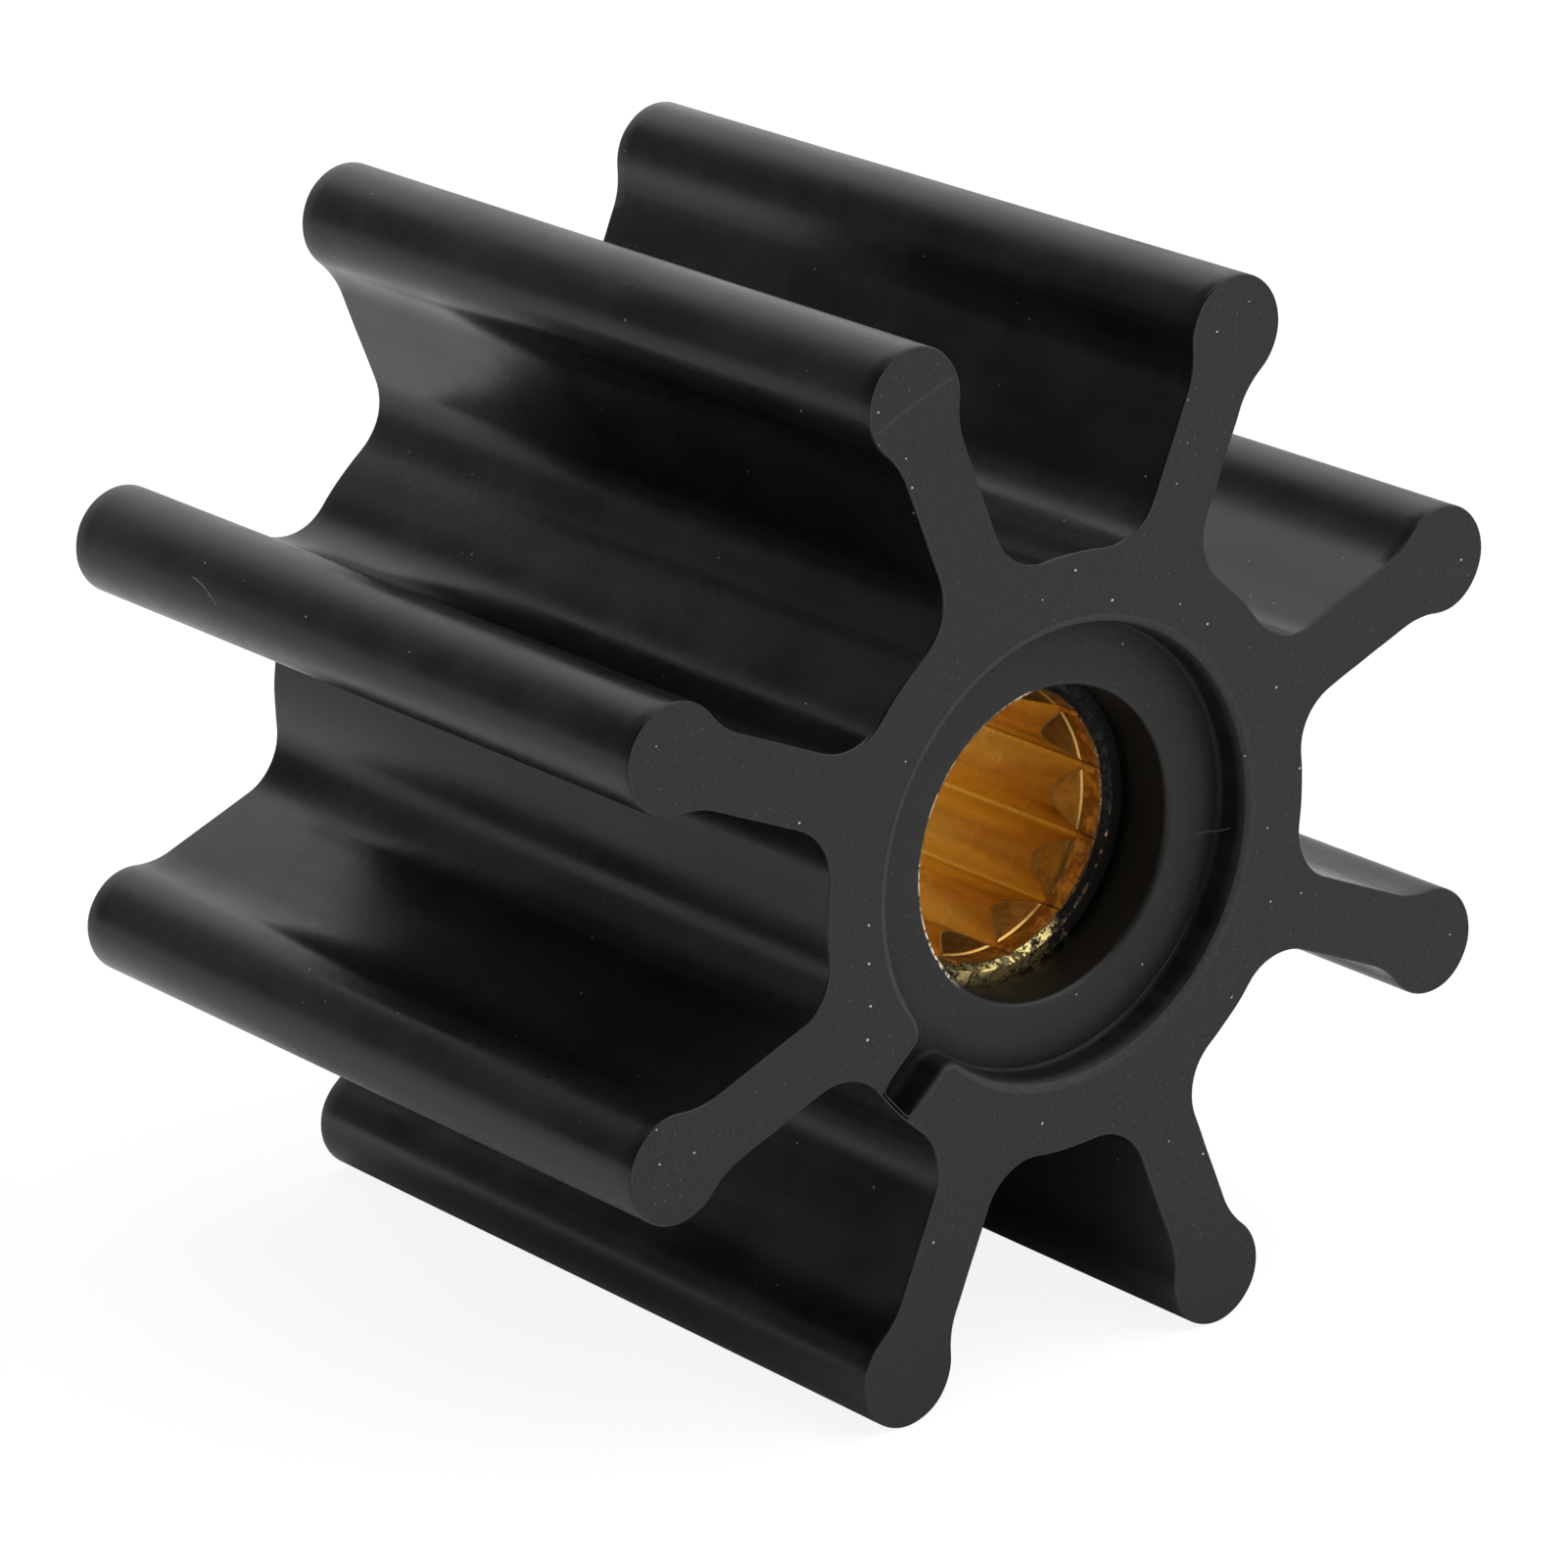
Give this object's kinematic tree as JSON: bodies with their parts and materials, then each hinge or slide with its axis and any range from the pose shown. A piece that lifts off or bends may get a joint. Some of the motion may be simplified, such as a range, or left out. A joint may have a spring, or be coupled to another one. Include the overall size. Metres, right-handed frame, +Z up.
{
  "type": "rubber pump impeller",
  "caption": "Flexible rubber pump impeller: straight vanes with round tips on a hub, a slotted seal recess in one face and a bonded brass insert with a splined shaft hole.",
  "frame": {"origin": "on the shaft axis at mid length, which is the centre of the bounding box", "axes": "+Y along the shaft axis, from the recessed front face to the back face; +Z up, midway between two vanes, so that the part stands on two vane tips; +X to the right of the front face"},
  "size_m": [0.0606, 0.0494, 0.0606],
  "materials": {
    "rubber": "black moulded rubber, matte on the end faces and half gloss on the vane sides",
    "brass": "machined brass"
  },
  "bodies": {
    "root": {"rubber_body": "rubber", "splined_insert": "brass"}
  },
  "joints": []
}
